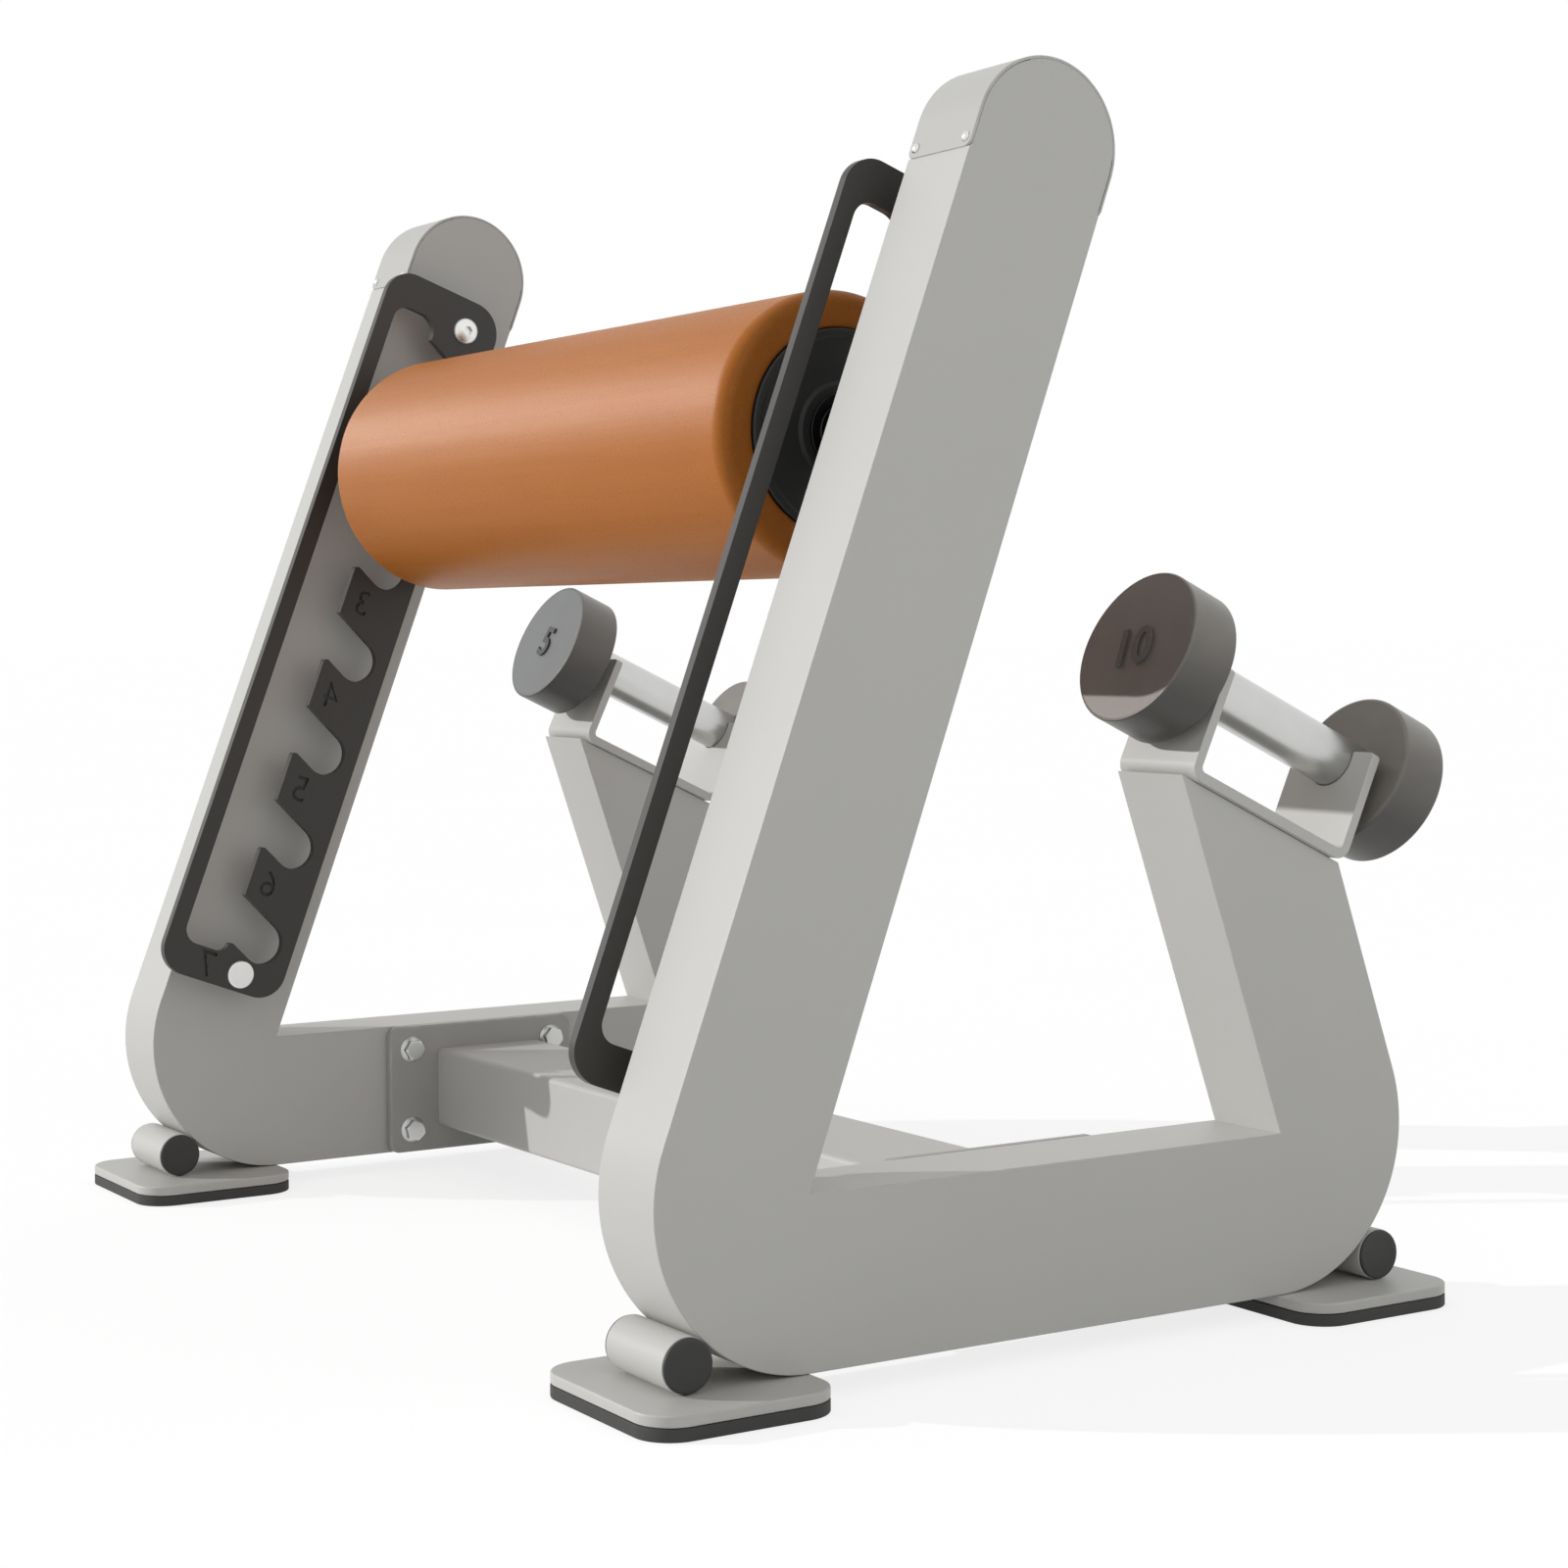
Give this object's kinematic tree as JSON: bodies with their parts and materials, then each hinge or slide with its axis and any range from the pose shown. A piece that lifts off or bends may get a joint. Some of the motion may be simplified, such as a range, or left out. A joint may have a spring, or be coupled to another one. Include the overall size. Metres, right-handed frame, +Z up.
{
  "type": "split squat stand",
  "caption": "Split squat stand with leaning side frames, a height-adjustable foam roller in notched racks, and dumbbell holders on rear arms.",
  "frame": {"origin": "on the floor under the centre of the bounding box", "axes": "+X across the stand to the right, +Y from the front to the rear, +Z up"},
  "size_m": [1.074, 0.7266, 0.9156],
  "materials": {
    "frame_paint": "satin light grey powder coat",
    "rack_paint": "satin dark grey powder coat",
    "foot_rubber": "matt black rubber",
    "black_plastic": "matt black plastic",
    "disc_plastic": "matt dark grey plastic",
    "roller_cover": "smooth tan cover over foam",
    "chrome": "bright plated steel",
    "brushed_steel": "turned bare steel",
    "ten_head": "satin brownish black enamel",
    "five_head": "satin grey shell over a cement filling"
  },
  "bodies": {
    "stand": {"cross_beam": "frame_paint", "right_upright": "frame_paint", "right_end_cap": "frame_paint", "right_base": "frame_paint", "right_arm": "frame_paint", "right_beam_flange": "frame_paint", "right_dumbbell_holder": "frame_paint", "right_rack": "rack_paint", "right_rack_lower_bolt": "chrome", "right_rack_upper_bolt": "chrome", "right_front_lower_bolt": "chrome", "right_front_upper_bolt": "chrome", "right_rear_lower_bolt": "chrome", "right_rear_upper_bolt": "chrome", "right_front_foot_pad": "foot_rubber", "right_front_foot_sole": "frame_paint", "right_front_foot_tube": "frame_paint", "right_front_inner_plug": "black_plastic", "right_front_outer_plug": "black_plastic", "right_rear_foot_pad": "foot_rubber", "right_rear_foot_sole": "frame_paint", "right_rear_foot_tube": "frame_paint", "right_rear_inner_plug": "black_plastic", "right_rear_outer_plug": "black_plastic", "left_upright": "frame_paint", "left_end_cap": "frame_paint", "left_base": "frame_paint", "left_arm": "frame_paint", "left_beam_flange": "frame_paint", "left_dumbbell_holder": "frame_paint", "left_rack": "rack_paint", "left_rack_lower_bolt": "chrome", "left_rack_upper_bolt": "chrome", "left_front_lower_bolt": "chrome", "left_front_upper_bolt": "chrome", "left_rear_lower_bolt": "chrome", "left_rear_upper_bolt": "chrome", "left_front_foot_pad": "foot_rubber", "left_front_foot_sole": "frame_paint", "left_front_foot_tube": "frame_paint", "left_front_inner_plug": "black_plastic", "left_front_outer_plug": "black_plastic", "left_rear_foot_pad": "foot_rubber", "left_rear_foot_sole": "frame_paint", "left_rear_foot_tube": "frame_paint", "left_rear_inner_plug": "black_plastic", "left_rear_outer_plug": "black_plastic"},
    "axle": {"axle": "brushed_steel"},
    "roller": {"roller_pad": "roller_cover", "roller_core": "brushed_steel", "right_roller_disc": "disc_plastic", "right_roller_bearing": "brushed_steel", "left_roller_disc": "disc_plastic", "left_roller_bearing": "brushed_steel"},
    "right_dumbbell": {"right_dumbbell_handle": "chrome", "right_dumbbell_front_head": "ten_head", "right_dumbbell_rear_head": "ten_head"},
    "left_dumbbell": {"left_dumbbell_handle": "chrome", "left_dumbbell_front_head": "five_head", "left_dumbbell_rear_head": "five_head"}
  },
  "joints": [
    {"name": "axle_lift", "type": "slide", "parent": "stand", "child": "axle", "axis": [0, -0.6929, 0.721], "range_m": [0, 0.0592]},
    {"name": "roller_spin", "type": "hinge", "parent": "axle", "child": "roller", "pos_m": [0, -0.08598, 0.65885], "axis": [1, 0, 0], "continuous": true},
    {"name": "right_dumbbell_lift", "type": "slide", "parent": "stand", "child": "right_dumbbell", "axis": [0, 0.4248, 0.9053], "range_m": [0, 0.1]},
    {"name": "left_dumbbell_lift", "type": "slide", "parent": "stand", "child": "left_dumbbell", "axis": [0, 0.4248, 0.9053], "range_m": [0, 0.1]}
  ]
}
